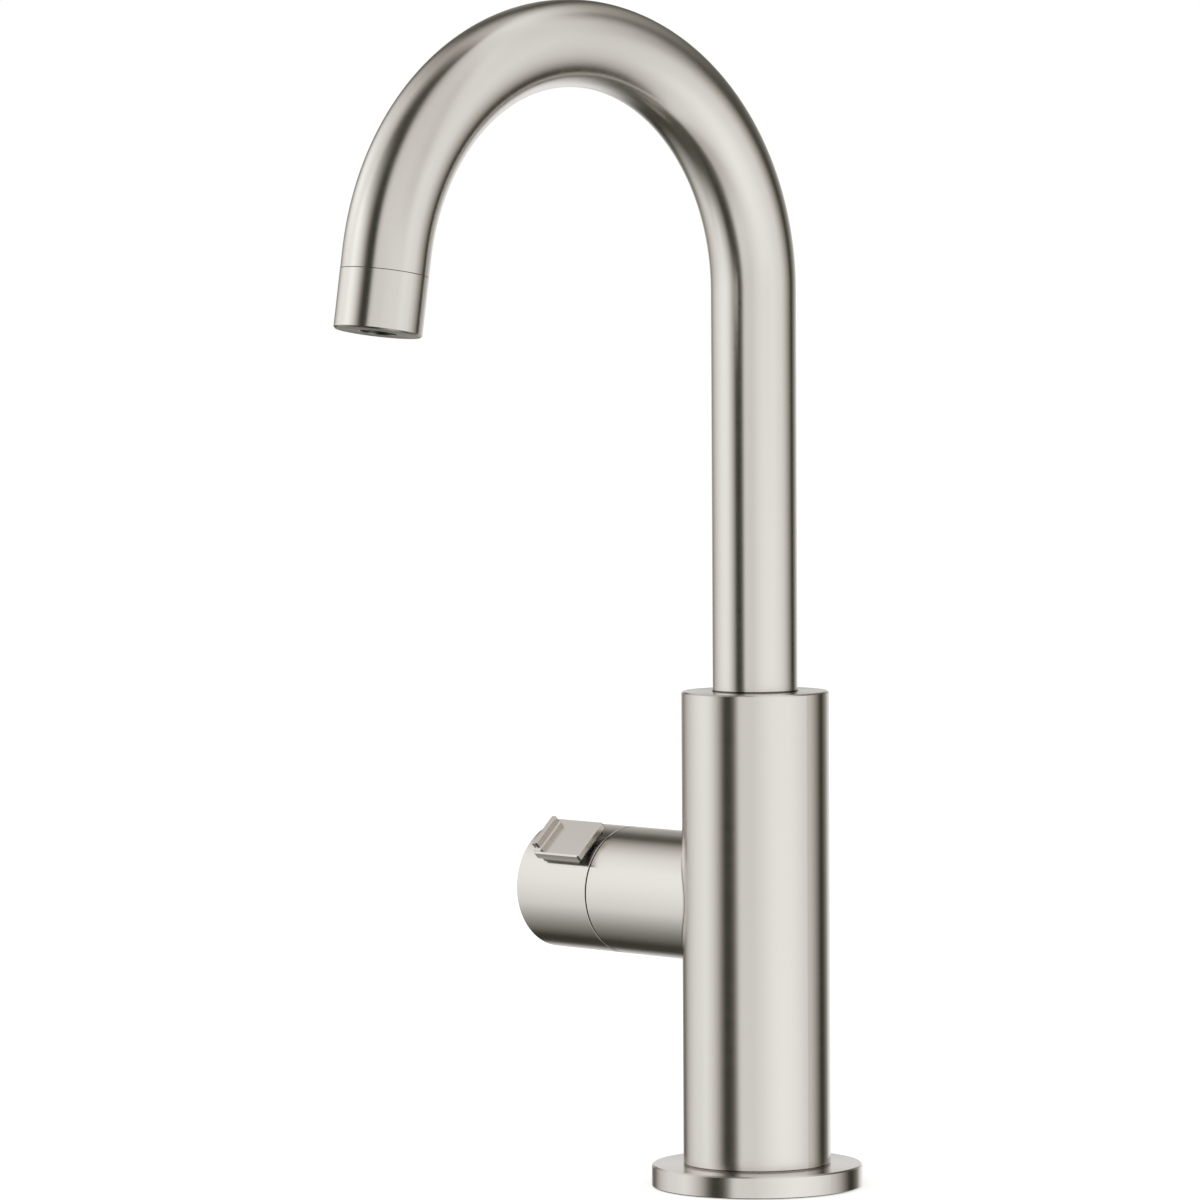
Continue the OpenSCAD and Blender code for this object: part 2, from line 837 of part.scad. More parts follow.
module valve_stem() {
    color(brass)
        on_hub()
            difference() {
                union() {
                    // Tang in the moving disc's slot and the two bars above it
                    at_plate() {
                        translate([-slot_w / 2 + 0.05, -slot_l / 2 + 0.1, foot_u - slot_h + 0.05])
                            cube([slot_w - 0.1, slot_l - 0.2, slot_h + bar_h]);
                        for (a = [90, 270])
                            sector(0, moving_r - 0.6, foot_u + 0.05, plate_u + eps, a - 25, a + 25);
                    }
                    hole(moving_r - 0.3, plate_u, plate_u + plate_h);
                    at_plate()
                        sector(
                            stem_r - 0.5, stop_r, plate_u + plate_h - eps, cavity_u + stop_h,
                            -stop_angle / 2, stop_angle / 2
                        );
                    hole(stem_r, plate_u, spline_u);
                    translate([0, 0, spline_u - eps])
                        linear_extrude(stem_end_u - spline_u + eps) spline_outline(spline_r);
                }
                for (u = stem_ring_u)
                    ring_groove(stem_r, stem_r - stem_ring_d, stem_ring_d, u);
                ring(stem_r + 1, stem_r - clip_groove, clip_u - 0.05, clip_u + clip_t + 0.05);
            }
}

module moving_disc() {
    color(ceramic)
        on_hub()
            difference() {
                hole(moving_r, moving_u, foot_u);
                at_plate() ports(moving_u, foot_u, 0);
                at_plate()
                    translate([-slot_w / 2, -slot_l / 2, foot_u - slot_h])
                        cube([slot_w, slot_l, slot_h + 1]);
            }
}

module slip_washer() {
    color(polymer)
        on_hub() ring(neck_r - 0.2, stem_r + 0.1, neck_u + 0.05, neck_u + 0.05 + slip_t);
}

module stem_o_rings() {
    color(rubber)
        on_hub()
            for (u = stem_ring_u)
                o_ring(stem_r - stem_ring_d, stem_ring_d, u);
}

module stem_clip() {
    color(steel)
        on_hub()
            difference() {
                ring(neck_r - 0.8, stem_r - clip_groove + 0.05, clip_u, clip_u + clip_t);
                sector(0, neck_r, clip_u - 1, clip_u + clip_t + 1, -40, 40);
            }
}

module cap_set_screw() {
    color(steel)
        on_hub()
            at_plate()
                translate([-stem_r - 0.1, 0, cap_screw_u])
                    rotate([0, -90, 0]) set_screw(screw_d, screw_len, screw_d * 0.7);
}

base_flange();
base_gasket();
body_shell();
valve_body();
hub_sleeve();
mounting_shank();
deck_washer();
clamp_washer();
mounting_nut();
swivel_bush();
thrust_washer();
spout_set_screw();
cartridge_housing();
housing_o_ring();
retaining_nut();
seat_seal();
fixed_disc();
glide_ring();
spout_tube();
spout_journal();
journal_o_rings();
inner_hose();
nozzle_shell();
nozzle_o_ring();
nozzle_insert();
flow_straightener();
handle_cap();
thumb_plate();
valve_stem();
moving_disc();
slip_washer();
stem_o_rings();
stem_clip();
cap_set_screw();
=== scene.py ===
"""Studio scene of a single-hole hot water faucet in brushed nickel.

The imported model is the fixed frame. This script gives each of its pieces a finish, makes the
bent tubes and the threaded shank from rules, and adds the floor, the light and the camera.
Lengths are in metres, in the frame of the model: z = 0 is the deck and up is +Z.
"""

import logging
import math
from dataclasses import dataclass, field
from enum import Enum

import bmesh
import bpy
from mathutils import Matrix, Vector


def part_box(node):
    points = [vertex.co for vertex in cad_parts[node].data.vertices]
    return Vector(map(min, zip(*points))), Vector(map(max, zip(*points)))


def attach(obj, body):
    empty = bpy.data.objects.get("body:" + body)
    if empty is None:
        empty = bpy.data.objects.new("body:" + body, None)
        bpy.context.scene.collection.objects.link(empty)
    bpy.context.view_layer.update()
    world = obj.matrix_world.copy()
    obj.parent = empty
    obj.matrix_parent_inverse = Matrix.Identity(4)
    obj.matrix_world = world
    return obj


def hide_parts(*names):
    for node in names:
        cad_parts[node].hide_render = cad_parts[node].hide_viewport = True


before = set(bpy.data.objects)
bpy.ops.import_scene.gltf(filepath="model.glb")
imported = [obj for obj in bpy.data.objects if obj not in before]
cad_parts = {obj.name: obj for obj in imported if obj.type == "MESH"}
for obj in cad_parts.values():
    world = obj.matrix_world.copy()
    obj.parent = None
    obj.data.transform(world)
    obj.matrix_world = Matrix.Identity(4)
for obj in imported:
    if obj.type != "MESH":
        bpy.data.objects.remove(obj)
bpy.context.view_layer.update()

MM = 0.001
SHARP_ANGLE = math.radians(35)
UP = Vector((0, 0, 1))
WHITE = (1.0, 1.0, 1.0)
Colour = tuple[float, float, float]
Point = tuple[float, float, float]
Bands = list[tuple[float, float]]
Socket = bpy.types.NodeSocket
log = logging.getLogger("faucet")


class Graph:
    """Adds nodes to one shader or geometry tree and links them."""

    def __init__(self, tree: bpy.types.NodeTree) -> None:
        """Keeps the tree that the nodes go into."""
        self.tree = tree

    def add(self, kind: str, inputs: dict | None = None, **settings: object) -> bpy.types.Node:
        """Adds one node.

        Args:
            kind: Blender's name of the node type.
            inputs: A value, socket or node for each named or numbered input.
            settings: Properties of the node itself.

        Returns:
            The new node.
        """
        node = self.tree.nodes.new(kind)
        for name, value in settings.items():
            setattr(node, name, value)
        for key, value in (inputs or {}).items():
            if isinstance(value, bpy.types.Node):
                value = value.outputs[0]
            if isinstance(value, Socket):
                self.tree.links.new(value, node.inputs[key])
            else:
                node.inputs[key].default_value = value
        return node

    def math(self, operation: str, *values: object) -> Socket:
        """Returns the result of one Math node.

        Args:
            operation: Name of the operation.
            values: Numbers or sockets, in the order of the node's inputs.

        Returns:
            The node's output.
        """
        return self.add("ShaderNodeMath", dict(enumerate(values)), operation=operation).outputs[0]

    def xyz(self, x: object, y: object, z: object) -> Socket:
        """Returns a vector made of three numbers or sockets."""
        return self.add("ShaderNodeCombineXYZ", {0: x, 1: y, 2: z}).outputs[0]

    def split(self, vector: Socket) -> list[Socket]:
        """Returns the three parts of a vector."""
        return list(self.add("ShaderNodeSeparateXYZ", {0: vector}).outputs)

    def vector(self, operation: str, output: int, *values: object) -> Socket:
        """Returns the result of one Vector Math node.

        Args:
            operation: Name of the operation.
            output: 0 for the node's vector, 1 for its number.
            values: Vectors or sockets, in the order of the node's inputs.

        Returns:
            The node's output.
        """
        node = self.add("ShaderNodeVectorMath", dict(enumerate(values)), operation=operation)
        return node.outputs[output]

    def minus(self, first: object, second: object) -> Socket:
        """Returns the first vector less the second."""
        return self.vector("SUBTRACT", 0, first, second)

    def cross(self, first: object, second: object) -> Socket:
        """Returns the cross product of two vectors."""
        return self.vector("CROSS_PRODUCT", 0, first, second)

    def dot(self, first: object, second: object) -> Socket:
        """Returns the dot product of two vectors."""
        return self.vector("DOT_PRODUCT", 1, first, second)

    def length(self, vector: object) -> Socket:
        """Returns the length of a vector."""
        return self.vector("LENGTH", 1, vector)

    def ramp(
        self, value: object, low: float, high: float, start: float = 0.0, end: float = 1.0
    ) -> Socket:
        """Returns a number that changes evenly while a value goes from low to high.

        Args:
            value: Socket with the value.
            low: Value at which the change starts.
            high: Value at which it ends.
            start: The number up to the low value.
            end: The number from the high value on.

        Returns:
            The number.
        """
        inputs = {
            "Value": value, "From Min": low, "From Max": high, "To Min": start, "To Max": end
        }
        return self.add("ShaderNodeMapRange", inputs).outputs[0]

    def blend(self, factor: object, low: object, high: object) -> Socket:
        """Returns a colour between two.

        Args:
            factor: Socket with 0 for the first colour and 1 for the second.
            low: First colour, as four numbers or a socket.
            high: Second colour.

        Returns:
            The mixed colour.
        """
        mix = self.add("ShaderNodeMix", {0: factor, 6: low, 7: high}, data_type="RGBA")
        return mix.outputs[2]


def cleared(owner: bpy.types.Material | bpy.types.World) -> Graph:
    """Turns on the nodes of a material or world, empties them and returns their graph."""
    owner.use_nodes = True
    owner.node_tree.nodes.clear()
    return Graph(owner.node_tree)


def opaque(colour: Colour, level: float = 1.0) -> tuple[float, float, float, float]:
    """Returns a colour times a level, not above 1, with an opacity of 1."""
    red, green, blue = (min(part * level, 1) for part in colour)
    return red, green, blue, 1


@dataclass(frozen=True)
class Layout:
    """The few sizes of the model that the looks need again."""

    hub_h: float = 74.4 * MM
    plate_angle: float = math.radians(43.6)
    plate_low: float = 17.5 * MM
    seam: float = 47.95 * MM
    column_r: float = 19.3 * MM
    column_top: float = 129.7 * MM
    flange_top: float = 5.7 * MM
    tip_len: float = 4.7 * MM
    outlet_r: float = 4.7 * MM
    arch_r: float = 63.1 * MM
    arch_h: float = 234.2 * MM
    arch_sweep: float = math.radians(171)

    def hub(self) -> Matrix:
        """Returns the frame of the hub, with +Z outward along it and +X up."""
        return Matrix.Translation((0, 0, self.hub_h)) @ Matrix.Rotation(-math.pi / 2, 4, "Y")

    def plate(self) -> Matrix:
        """Returns the hub's frame turned so that +X points at the thumb plate."""
        return self.hub() @ Matrix.Rotation(-self.plate_angle, 4, "Z")

    def tip(self) -> Matrix:
        """Returns the frame at the end of the arch, with +Z the way the water leaves."""
        y = -self.arch_r + self.arch_r * math.cos(self.arch_sweep)
        z = self.arch_h + self.arch_r * math.sin(self.arch_sweep)
        return Matrix.Translation((0, y, z)) @ Matrix.Rotation(self.arch_sweep, 4, "X")


LAYOUT = Layout()


class Grain(Enum):
    """The way that the fine lines of a metal surface run."""

    COLUMN = "rings about the column"
    HUB = "rings about the hub"
    NOZZLE = "rings about the nozzle"
    ARCH = "rings that follow the bent tube"
    PLATE = "lines along the thumb plate"

    def turn(self) -> Matrix:
        """Returns the frame of the pieces with this grain."""
        turns = {Grain.HUB: LAYOUT.hub, Grain.NOZZLE: LAYOUT.tip, Grain.PLATE: LAYOUT.plate}
        return turns[self]() if self in turns else Matrix.Identity(4)


@dataclass(frozen=True)
class SeamShadow:
    """Painted shadow: a fine dark line round a piece, where the next one meets it."""

    middle: float
    half: float
    least: float = 0.0
    blur: float = 0.02 * MM


# Painted shadow lines: in the seam between hub sleeve and cap, at the nozzle's seam, at the spout
# tube's foot on the column and at the column's foot on the flange.
SEAM_SHADOWS = {
    Grain.HUB: SeamShadow(LAYOUT.seam, 0.25 * MM),
    Grain.NOZZLE: SeamShadow(LAYOUT.tip_len, 0.1 * MM),
    Grain.ARCH: SeamShadow(LAYOUT.column_top + 0.15 * MM, 0.25 * MM, least=0.15),
    Grain.COLUMN: SeamShadow(LAYOUT.flange_top + 0.27 * MM, 0.15 * MM, least=0.2),
}


@dataclass(frozen=True)
class MetalFinish:
    """Metal that was brushed or turned, with fine lines that follow a grain.

    Broad soft bands lie under the fine lines. Shade is also painted into the colour. Where join
    has a level, the metal is darkened to it in painted shadow lines where pieces meet, and face,
    glance and hole are the painted shade on the nozzle's end face, in its glancing reflections
    and on the wall of its hole. The thumb plate and the corner where the hub meets the column get
    painted shade of their own levels.
    """

    name: str
    colour: Colour
    roughness: tuple[float, float]
    stretch: float = 0.5
    # Level of the painted shade on the thumb plate: under it, round its foot and on its cut
    # corners.
    plate_shade: float = 0.15
    # Level of the painted shadow lines where pieces meet, or None for none.
    join: float | None = None
    # Least share of open metal in the painted shade where the hub meets the column.
    corner_shade_least: float = 0.4
    # Painted shade on the nozzle's end: the face's level, the tint of its glancing reflections and
    # the colour of the hole's wall.
    face: float = 0.26
    glance: Colour = (0.46, 0.435, 0.38)
    hole: Colour = (0.11, 0.13, 0.11)
    pitch: float = 0.32 * MM
    length: float = 22 * MM
    band_pitch: float = 4.48 * MM
    band_length: float = 88 * MM
    band_share: float = 0.4
    depth: float = 1.2e-6
    tone: float = 0.03

    def material(self, grain: Grain) -> bpy.types.Material:
        """Makes the material for one grain, or returns it if it is there already.

        Args:
            grain: The way that the lines run.

        Returns:
            The material.
        """
        name = f"{self.name}_{grain.name.lower()}"
        made = bpy.data.materials.get(name)
        if made:
            return made
        made = bpy.data.materials.new(name)
        graph = cleared(made)
        coordinates = graph.add("ShaderNodeTexCoord").outputs
        place, normal = coordinates["Object"], coordinates["Normal"]
        lines = self._lines(graph, place, grain, self.pitch, self.length)
        bands = self._lines(graph, place, grain, self.band_pitch, self.band_length)
        fine = graph.math("MULTIPLY", lines, 1 - self.band_share)
        both = graph.math("MULTIPLY_ADD", bands, self.band_share, fine)
        colour = graph.blend(
            both, opaque(self.colour, 1 - self.tone), opaque(self.colour, 1 + self.tone)
        )
        edge = opaque(WHITE)
        # Painted shade on the thumb plate: under it, round its foot and on its cut corners.
        if grain is Grain.PLATE:
            brushed = self._outside_plate_shade(graph, place, normal)
            colour = graph.blend(brushed, opaque(self.colour, self.plate_shade), colour)
        # Painted shadow lines where pieces meet; on the nozzle also painted shade on its end face
        # and in its hole.
        elif self.join is not None:
            clear = self._outside_seam_shadows(graph, place, grain)
            colour = graph.blend(clear, opaque(WHITE, self.join), colour)
            if grain is Grain.NOZZLE:
                colour, edge = self._painted_outlet_shade(graph, place, normal, colour)
        bump = graph.add(
            "ShaderNodeBump", {"Strength": 1.0, "Distance": self.depth, "Height": lines}
        )
        shader = graph.add(
            "ShaderNodeBsdfPrincipled",
            {"Base Color": colour, "Metallic": 1.0, "Normal": bump, "Specular Tint": edge,
             "Roughness": graph.ramp(both, 0.3, 0.7, *self.roughness),
             "Anisotropic": self.stretch, "Tangent": self._across(graph, place, normal, grain)},
        )
        graph.add("ShaderNodeOutputMaterial", {"Surface": shader})
        return made

    @staticmethod
    def _outside_plate_shade(graph: Graph, place: Socket, normal: Socket) -> Socket:
        """Returns 1 on the brushed faces of the thumb plate and 0 where shade is painted on it.

        The painted shade goes on the underside, in the crevice round the foot and on the cut
        corners.

        Args:
            graph: The tree's graph.
            place: Socket with the object's own coordinates.
            normal: Socket with the normal in the same coordinates.

        Returns:
            The share of brushed metal, outside the painted shade.
        """
        crevice = LAYOUT.plate_low - 1.3 * MM, LAYOUT.plate_low - 0.2 * MM
        underside = -0.7, -0.5
        cut_corner = 0.35, 0.2
        turn = LAYOUT.plate()
        away, side, along = (turn.to_3x3() @ Vector(axis) for axis in Matrix.Identity(3))
        high = graph.ramp(graph.dot(graph.minus(place, turn.translation), away), *crevice)
        upward = graph.ramp(graph.dot(normal, away), *underside)
        slant = graph.math("MULTIPLY", graph.dot(normal, side), graph.dot(normal, along))
        square = graph.ramp(graph.math("ABSOLUTE", slant), *cut_corner)
        return graph.math("MULTIPLY", high, graph.math("MULTIPLY", upward, square))

    def _outside_seam_shadows(self, graph: Graph, place: Socket, grain: Grain) -> Socket:
        """Returns 1 on open metal and 0 in the painted shadow lines where two pieces meet.

        Args:
            graph: The tree's graph.
            place: Socket with the object's own coordinates.
            grain: The way that the lines run, which tells the pieces apart.

        Returns:
            The share of open metal, outside the painted shade.
        """
        join, turn = SEAM_SHADOWS[grain], grain.turn()
        along = graph.dot(graph.minus(place, turn.translation), turn.to_3x3() @ UP)
        off = graph.math("ABSOLUTE", graph.math("SUBTRACT", along, join.middle))
        clear = graph.ramp(off, join.half - join.blur, join.half + join.blur)
        clear = graph.math("MAXIMUM", clear, join.least)
        # Painted shade along the corner where the hub sleeve meets the column, down to its least
        # level.
        if grain is Grain.HUB:
            corner = LAYOUT.column_r - 0.2 * MM, LAYOUT.column_r + 0.4 * MM
            x, y, _ = graph.split(place)
            beside = graph.ramp(graph.length(graph.xyz(x, y, 0)), *corner)
            beside = graph.math("MAXIMUM", beside, self.corner_shade_least)
            clear = graph.math("MULTIPLY", clear, beside)
        return clear

    def _painted_outlet_shade(
        self, graph: Graph, place: Socket, normal: Socket, colour: Socket
    ) -> tuple[Socket, Socket]:
        """Paints shade on the nozzle's end face, and darker painted shade on the wall of the hole
        in it.

        Args:
            graph: The tree's graph.
            place: Socket with the object's own coordinates.
            normal: Socket with the normal in the same coordinates.
            colour: Socket with the colour so far.

        Returns:
            The colour with the two painted shades, and the colour of its glancing reflections,
            dimmed by painted shade on the face and in the hole.
        """
        end_face = 0.6, 0.8
        wall = LAYOUT.outlet_r, LAYOUT.outlet_r - 0.1 * MM
        turn = Grain.NOZZLE.turn()
        axis = turn.to_3x3() @ UP
        radius = graph.length(graph.cross(graph.minus(place, turn.translation), axis))
        flat = graph.ramp(graph.dot(normal, axis), *end_face)
        inside = graph.ramp(radius, *wall)
        colour = graph.blend(flat, colour, opaque(self.colour, self.face))
        edge = graph.blend(flat, opaque(WHITE), opaque(self.glance))
        edge = graph.blend(inside, edge, opaque(self.hole))
        return graph.blend(inside, colour, opaque(self.hole)), edge

    @staticmethod
    def _across(
        graph: Graph, place: Socket, normal: Socket, grain: Grain
    ) -> Socket:
        """Returns the direction across the lines, in which they blur a reflection.

        Args:
            graph: The tree's graph.
            place: Socket with the object's own coordinates.
            normal: Socket with the normal in the same coordinates.
            grain: The way that the lines run.

        Returns:
            The direction in the world.
        """
        turn = grain.turn()
        if grain is Grain.ARCH:
            _, y, z = graph.split(place)
            up = graph.math("MAXIMUM", graph.math("SUBTRACT", z, LAYOUT.arch_h), 0)
            angle = graph.math("ARCTAN2", up, graph.math("ADD", y, LAYOUT.arch_r))
            back = graph.math("MULTIPLY", graph.math("SINE", angle), -1)
            across = graph.xyz(0, back, graph.math("COSINE", angle))
        elif grain is Grain.PLATE:
            lean = Vector((0, 0.05, 0))
            across = graph.cross(normal, turn.to_3x3() @ (UP + lean))
        else:
            arm = graph.minus(place, turn.translation)
            across = graph.cross(normal, graph.cross(turn.to_3x3() @ UP, arm))
        return graph.add(
            "ShaderNodeVectorTransform", {0: across},
            vector_type="VECTOR", convert_from="OBJECT", convert_to="WORLD",
        ).outputs[0]

    @staticmethod
    def _lines(
        graph: Graph, place: Socket, grain: Grain, pitch: float, length: float
    ) -> Socket:
        """Returns noise drawn out along the grain, from 0 to 1.

        Args:
            graph: The tree's graph.
            place: Socket with the object's own coordinates.
            grain: The way that the lines run.
            pitch: Typical width of a line.
            length: Typical length of a line.

        Returns:
            The noise's output.
        """
        if grain in (Grain.HUB, Grain.NOZZLE, Grain.PLATE):
            turn = grain.turn()
            place = graph.add(
                "ShaderNodeMapping",
                {"Vector": place, "Location": turn.translation, "Rotation": turn.to_euler()},
                vector_type="TEXTURE",
            ).outputs[0]
        x, y, z = graph.split(place)
        if grain is Grain.PLATE:
            vector = graph.xyz(
                graph.math("MULTIPLY", x, 1 / pitch), graph.math("MULTIPLY", y, 1 / pitch),
                graph.math("MULTIPLY", z, 1 / length),
            )
        else:
            if grain is Grain.ARCH:
                up = graph.math("SUBTRACT", z, LAYOUT.arch_h)
                out = graph.math("ADD", y, LAYOUT.arch_r)
                around = graph.math("MULTIPLY", graph.math("ARCTAN2", up, out), LAYOUT.arch_r)
                bent = graph.math("GREATER_THAN", up, 0)
                along = graph.math(
                    "ADD", graph.math("MULTIPLY", around, bent),
                    graph.math("MULTIPLY", up, graph.math("SUBTRACT", 1, bent)),
                )
            else:
                along = graph.math("ADD", z, graph.length(graph.xyz(x, y, 0)))
            vector = graph.xyz(
                graph.math("MULTIPLY", x, 1 / length), graph.math("MULTIPLY", y, 1 / length),
                graph.math("MULTIPLY", along, 1 / pitch),
            )
        noise = graph.add(
            "ShaderNodeTexNoise", {"Vector": vector, "Scale": 1.0, "Detail": 2.0, "Roughness": 0.6}
        )
        return noise.outputs[0]


@dataclass(frozen=True)
class MouldedFinish:
    """Rubber, polymer or ceramic, with a fine mottle."""

    name: str
    colour: Colour
    roughness: tuple[float, float]
    size: float = 0.4 * MM
    depth: float = 4e-6
    tone: float = 0.04

    def material(self) -> bpy.types.Material:
        """Makes the material, or returns it if it is there already."""
        made = bpy.data.materials.get(self.name)
        if made:
            return made
        made = bpy.data.materials.new(self.name)
        graph = cleared(made)
        place = graph.add("ShaderNodeTexCoord").outputs["Object"]
        fine = graph.add(
            "ShaderNodeTexNoise",
            {"Vector": place, "Scale": 1 / self.size, "Detail": 3.0, "Roughness": 0.6},
        ).outputs[0]
        colour = graph.blend(
            fine, opaque(self.colour, 1 - self.tone), opaque(self.colour, 1 + self.tone)
        )
        bump = graph.add(
            "ShaderNodeBump", {"Strength": 1.0, "Distance": self.depth, "Height": fine}
        )
        shader = graph.add(
            "ShaderNodeBsdfPrincipled",
            {"Base Color": colour, "Roughness": graph.ramp(fine, 0, 1, *self.roughness),
             "Normal": bump},
        )
        graph.add("ShaderNodeOutputMaterial", {"Surface": shader})
        return made


# The join level of 0.02 makes the painted shadow lines where the nickel pieces meet nearly black.
NICKEL = MetalFinish("brushed_nickel", (0.775, 0.745, 0.705), (0.20, 0.24), join=0.02)
BRASS = MetalFinish("machined_brass", (0.72, 0.53, 0.25), (0.22, 0.34), depth=2.5e-6)
STEEL = MetalFinish("stainless_steel", (0.60, 0.61, 0.62), (0.24, 0.34))
RUBBER = MouldedFinish("black_rubber", (0.035, 0.035, 0.038), (0.55, 0.75), tone=0.2)
POLYMER = MouldedFinish("white_polymer", (0.80, 0.80, 0.77), (0.38, 0.5))
CERAMIC = MouldedFinish("lapped_ceramic", (0.86, 0.83, 0.74), (0.08, 0.16), depth=4e-7)
OUTLET = MouldedFinish("outlet_polymer", (0.05, 0.09, 0.095), (0.4, 0.55), tone=0.1)


def dress(material: bpy.types.Material, *names: str) -> None:
    """Gives nodes of the model a material.

    Args:
        material: The material.
        names: Names of the nodes.
    """
    for name in names:
        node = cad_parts[name]
        if not node.material_slots:
            node.data.materials.append(material)
        for place in node.material_slots:
            place.material = material
        log.info("%s: %s", name, material.name)


class GeometryTree:
    """A Geometry Nodes tree with named inputs that bends a grid into one piece."""

    def __init__(self, name: str, **inputs: float | int) -> None:
        """Starts the tree.

        Args:
            name: Name of the tree.
            inputs: Each input's name and its starting value.
        """
        self.tree = bpy.data.node_groups.new(name, "GeometryNodeTree")
        self.graph = Graph(self.tree)
        for label, value in inputs.items():
            kind = "NodeSocketInt" if isinstance(value, int) else "NodeSocketFloat"
            socket = self.tree.interface.new_socket(label, in_out="INPUT", socket_type=kind)
            socket.default_value = value
        for label, way, kind in (
            ("material", "INPUT", "NodeSocketMaterial"), ("mesh", "OUTPUT", "NodeSocketGeometry")
        ):
            self.tree.interface.new_socket(label, in_out=way, socket_type=kind)
        self.given = self.graph.add("NodeGroupInput").outputs

    def close(self, grid: bpy.types.Node, position: Socket) -> None:
        """Ends the tree: the grid bent to its shape, closed, realized and dressed.

        Args:
            grid: Node with the grid.
            position: Socket with the new place of each point.
        """
        bent = self.graph.add("GeometryNodeSetPosition", {"Geometry": grid, "Position": position})
        closed = self.graph.add(
            "GeometryNodeMergeByDistance", {"Geometry": bent, "Distance": 0.001 * MM}
        )
        plain = self.graph.add("GeometryNodeRealizeInstances", {0: closed})
        dressed = self.graph.add(
            "GeometryNodeSetMaterial", {"Geometry": plain, "Material": self.given["material"]}
        )
        self.graph.add("NodeGroupOutput", {0: dressed})

    def grow(
        self, name: str, material: bpy.types.Material, **values: float | int
    ) -> bpy.types.Object:
        """Runs the tree and keeps the result as a plain mesh.

        Args:
            name: Name of the new piece.
            material: Its material.
            values: Values of the tree's inputs.

        Returns:
            The new object, at the origin.
        """
        host = bpy.data.objects.new(name + "_host", bpy.data.meshes.new(name + "_host"))
        bpy.context.scene.collection.objects.link(host)
        modifier = host.modifiers.new("Grow", "NODES")
        modifier.node_group = self.tree
        known = {
            item.name: item.identifier
            for item in self.tree.interface.items_tree if item.in_out == "INPUT"
        }
        for label, value in {**values, "material": material}.items():
            modifier[known[label]] = value
        bpy.context.view_layer.update()
        seen = host.evaluated_get(bpy.context.evaluated_depsgraph_get())
        mesh = bpy.data.meshes.new_from_object(seen)
        host.modifiers.clear()
        bpy.data.objects.remove(host)
        mesh.name = name
        mesh.set_sharp_from_angle(angle=SHARP_ANGLE)
        piece = bpy.data.objects.new(name, mesh)
        bpy.context.scene.collection.objects.link(piece)
        log.info("%s: %d faces", name, len(mesh.polygons))
        return piece


def looped_grid(tree: GeometryTree) -> tuple[bpy.types.Node, Socket, Socket, Socket]:
    """Starts a hollow turned piece: a grid whose rows run up the outside and down the bore.

    Args:
        tree: The tree that the grid goes into, with the inputs rows and around for its steps.

    Returns:
        The grid, the share of the length from 0 to 1, 1 on the bore and 0 outside, and the angle.
    """
    graph, rows, around = tree.graph, tree.given["rows"], tree.given["around"]
    loop = graph.math("MULTIPLY_ADD", rows, 2, 2)
    grid = graph.add(
        "GeometryNodeMeshGrid",
        {"Size X": 1.0, "Size Y": 1.0, "Vertices X": graph.math("ADD", around, 1),
         "Vertices Y": graph.math("ADD", loop, 1)},
    )
    x, y, _ = graph.split(graph.add("GeometryNodeInputPosition").outputs[0])
    angle = graph.math("MULTIPLY", graph.math("ADD", x, 0.5), 2 * math.pi)
    row = graph.math("ROUND", graph.math("MULTIPLY", graph.math("ADD", y, 0.5), loop))
    inside = graph.math(
        "MULTIPLY",
        graph.math("GREATER_THAN", row, graph.math("ADD", rows, 0.5)),
        graph.math("LESS_THAN", row, graph.math("SUBTRACT", loop, 0.5)),
    )
    there = graph.math("DIVIDE", row, rows)
    back = graph.math("DIVIDE", graph.math("SUBTRACT", graph.math("SUBTRACT", loop, 1), row), rows)
    share = graph.math("MAXIMUM", graph.math("MINIMUM", there, back), 0)
    return grid, share, inside, angle


def bent_tube_tree() -> GeometryTree:
    """Makes the tree of a hollow tube that runs up, round an arch and down to its tip."""
    tree = GeometryTree(
        "bent_tube", radius=0.01, bore=0.009, foot=0.1, arch_height=0.2, arch_radius=0.06,
        sweep=3.0, tip=0.01, rows=150, around=96,
    )
    graph, given = tree.graph, tree.given
    grid, share, inside, angle = looped_grid(tree)
    bend = graph.math("MULTIPLY", given["arch_radius"], given["sweep"])
    climb = graph.math("SUBTRACT", given["arch_height"], given["foot"])
    length = graph.math("ADD", graph.math("ADD", climb, bend), given["tip"])
    past = graph.math("MULTIPLY_ADD", share, length, graph.math("MULTIPLY", climb, -1))
    lead = graph.math("MINIMUM", past, 0)
    tail = graph.math("MAXIMUM", graph.math("SUBTRACT", past, bend), 0)
    arc = graph.math("MINIMUM", graph.math("MAXIMUM", past, 0), bend)
    turn = graph.math("DIVIDE", arc, given["arch_radius"])
    sine, cosine = graph.math("SINE", turn), graph.math("COSINE", turn)
    thinner = graph.math("SUBTRACT", given["bore"], given["radius"])
    radius = graph.math("MULTIPLY_ADD", inside, thinner, given["radius"])
    out = graph.math("MULTIPLY", radius, graph.math("SINE", angle))
    reach = graph.math("ADD", given["arch_radius"], out)
    y = graph.math("SUBTRACT", graph.math("MULTIPLY", reach, cosine), given["arch_radius"])
    y = graph.math("SUBTRACT", y, graph.math("MULTIPLY", tail, sine))
    z = graph.math("MULTIPLY_ADD", reach, sine, graph.math("ADD", given["arch_height"], lead))
    z = graph.math("MULTIPLY_ADD", tail, cosine, z)
    x = graph.math("MULTIPLY", radius, graph.math("COSINE", angle))
    tree.close(grid, graph.xyz(x, y, z))
    return tree


